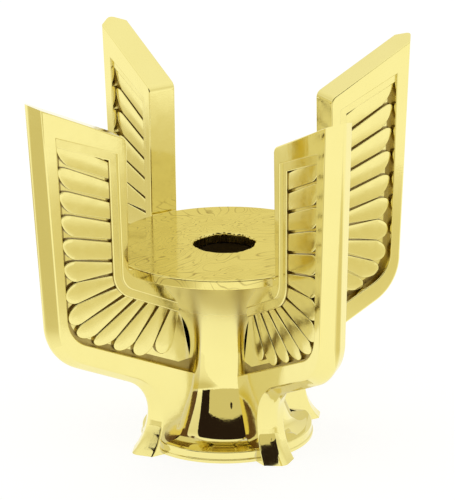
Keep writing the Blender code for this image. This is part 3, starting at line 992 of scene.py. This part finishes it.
def square(centre, reach, height):
    """Corners of a level square, reach to each side of its centre."""
    x, y = centre
    corners = ((-1, -1), (1, -1), (1, 1), (-1, 1))
    return [(x + reach * across, y + reach * along, height) for across, along in corners]


def by_reflection(tree, first, second):
    """A level for the stage's light that changes from first to second in a reflection of a reflection.

    It isn't how real light behaves: it makes up for a room that this stage doesn't hold.
    """
    path = tree.nodes.new("ShaderNodeLightPath")
    return map_range(tree, path.outputs["Glossy Depth"], first, second, 1.0, 2.0)


def glow(name, colour, strength, second=None):
    """A surface that only gives off light, with another strength in second reflections if need be."""
    material = bpy.data.materials.new(name)
    material.use_nodes = True
    tree = material.node_tree
    tree.nodes.clear()
    output = tree.nodes.new("ShaderNodeOutputMaterial")
    emission = tree.nodes.new("ShaderNodeEmission")
    emission.inputs["Color"].default_value = (*colour, 1.0)
    emission.inputs["Strength"].default_value = strength
    if second is not None:
        tree.links.new(by_reflection(tree, strength, second), emission.inputs["Strength"])
    tree.links.new(emission.outputs["Emission"], output.inputs["Surface"])
    return material


def soft_glow(name, strength):
    """A light surface that fades out from its middle to its rim."""
    material = glow(name, WARM_GREY, strength)
    tree = material.node_tree
    coordinates = tree.nodes.new("ShaderNodeTexCoord")
    centred = tree.nodes.new("ShaderNodeMapping")
    centred.inputs["Location"].default_value = (-1, -1, 0)
    centred.inputs["Scale"].default_value = (2, 2, 0)
    gradient = tree.nodes.new("ShaderNodeTexGradient")
    gradient.gradient_type = "SPHERICAL"
    tree.links.new(coordinates.outputs["Generated"], centred.inputs["Vector"])
    tree.links.new(centred.outputs["Vector"], gradient.inputs["Vector"])
    cover = map_range(tree, gradient.outputs["Fac"], 0.0, 1.0, 0.0, 0.6)
    cover.node.interpolation_type = "SMOOTHSTEP"
    clear = tree.nodes.new("ShaderNodeBsdfTransparent")
    mix = tree.nodes.new("ShaderNodeMixShader")
    tree.links.new(cover, mix.inputs["Fac"])
    tree.links.new(clear.outputs["BSDF"], mix.inputs[1])
    tree.links.new(tree.nodes["Emission"].outputs["Emission"], mix.inputs[2])
    tree.links.new(mix.outputs["Shader"], tree.nodes["Material Output"].inputs["Surface"])
    return material


def reflected_only(card):
    """The card shows only in the metal: neither the camera nor the floor sees it."""
    card.visible_camera = False
    card.visible_diffuse = False
    card.visible_shadow = False


def standing_card(name, left, right, bottom, top, material, nearer=0, corner=0.0):
    """An upright card in front of the object, which may have rounded upper corners."""
    outline = [(left, bottom), (right, bottom)]
    if corner:
        outline += arc((right - corner, top - corner), corner, 0, 90, 8)
        outline += arc((left + corner, top - corner), corner, 90, 180, 8)
    else:
        outline += [(right, top), (left, top)]
    points = [(x, CARD_DISTANCE - nearer, z) for x, z in outline]
    reflected_only(stage_mesh(name, points, [tuple(range(len(points)))], material))


def lying_patch(name, centre, reach, strength):
    """A soft-edged grey patch just above the floor."""
    points = square(centre, reach, 0.05)
    reflected_only(stage_mesh(name, points, [(0, 1, 2, 3)], soft_glow(name, strength)))


def make_floor():
    """A pale floor that glows a little, so that it stays white and still takes a faint shadow."""
    material, tree, shader = new_material("white_sheet", (0.22, 0.22, 0.22), 0.0)
    shader.inputs["Roughness"].default_value = 1.0
    shader.inputs["Specular IOR Level"].default_value = 0.0
    shader.inputs["Emission Strength"].default_value = FLOOR_GLOW
    light = mix_colours(tree, by_reflection(tree, 0.0, 1.0), (1.0, 1.0, 1.0), SECOND_LIGHT)
    tree.links.new(light, shader.inputs["Emission Color"])
    stage_mesh("floor", square((0, 0), FLOOR_REACH, -0.02), [(0, 1, 2, 3)], material)


def make_cards():
    """The dark opening in front of the object, the card in it and the grey patches on the floor."""
    black = glow("dark_opening", (1.0, 0.6, 0.6), 0.02, second=0.12)
    grey = glow("grey_card", WARM_GREY, 0.66, second=0.8)
    standing_card("dark_left", -430, -222, 0.1, 400, black)
    standing_card("dark_top", -222, 420, 105, 400, black)
    standing_card("grey_card", -225, 400, 0.1, 105, grey, nearer=2, corner=30)
    lens = [(x, CARD_DISTANCE - 4, z) for x, z in arc((48, 72), 12.0, 0, 345, 23)]
    reflected_only(stage_mesh("lens", lens, [tuple(range(len(lens)))], black))
    lying_patch("grey_right", (108, 58), 66, 0.74)
    lying_patch("grey_back", (-135, -94), 60, 0.7)
    lying_patch("grey_left", (-145, 95), 95, 0.66)


def make_world():
    """A soft white tent that is a little darker low down than overhead."""
    world = bpy.data.worlds.new("studio")
    bpy.context.scene.world = world
    world.use_nodes = True
    tree = world.node_tree
    coordinates = tree.nodes.new("ShaderNodeTexCoord")
    split = tree.nodes.new("ShaderNodeSeparateXYZ")
    ramp = tree.nodes.new("ShaderNodeValToRGB")
    tree.links.new(coordinates.outputs["Generated"], split.inputs["Vector"])
    tree.links.new(split.outputs["Z"], ramp.inputs["Fac"])
    for index, (place, level) in enumerate(TENT):
        stop = ramp.color_ramp.elements[index] if index < 2 else ramp.color_ramp.elements.new(place)
        stop.position = place
        stop.color = (level, level * (0.8 + 0.2 * level), level * (0.1 + 0.9 * level), 1.0)
    light = mix_colours(tree, by_reflection(tree, 0.0, 1.0), ramp.outputs["Color"], SECOND_LIGHT)
    tree.links.new(light, tree.nodes["Background"].inputs["Color"])


def camera_axes():
    """The camera's direction to its right, and the one back from the object to the camera."""
    azimuth, elevation = math.radians(CAMERA_AZIMUTH), math.radians(CAMERA_ELEVATION)
    level = math.cos(elevation)
    back = Vector((math.sin(azimuth) * level, -math.cos(azimuth) * level, math.sin(elevation)))
    right = Vector((math.cos(azimuth), math.sin(azimuth), 0))
    return right, back


def make_camera():
    right, back = camera_axes()
    aim = (right * CAMERA_AIM_RIGHT + Vector((0, 0, CAMERA_AIM_HEIGHT))) * MM
    camera = bpy.data.objects.new("camera", bpy.data.cameras.new("camera"))
    camera.data.lens = CAMERA_LENS
    camera.data.sensor_width = 36
    camera.data.clip_start = 0.01
    camera.data.clip_end = 20
    camera.location = aim + back * CAMERA_DISTANCE * MM
    camera.rotation_mode = "QUATERNION"
    facing = (-back).to_track_quat("-Z", "Y")
    roll = Matrix.Rotation(math.radians(CAMERA_ROLL), 4, "Z").to_quaternion()
    camera.rotation_quaternion = facing @ roll
    bpy.context.scene.collection.objects.link(camera)
    bpy.context.scene.camera = camera


def main():
    metals = make_metals()
    make_column(metals["column"])
    make_base(metals["column"])
    make_platform(metals["platform"], metals["underside"])
    make_wings(metals["wing"])
    make_feather_panels(metals["feather"], metals["painted_crease_shade"])
    dress_inner_parts(metals["inner_part"], metals["screw"])
    make_floor()
    make_cards()
    make_world()
    make_camera()
    bpy.context.scene.view_settings.view_transform = "Standard"


main()

bpy.context.view_layer.update()
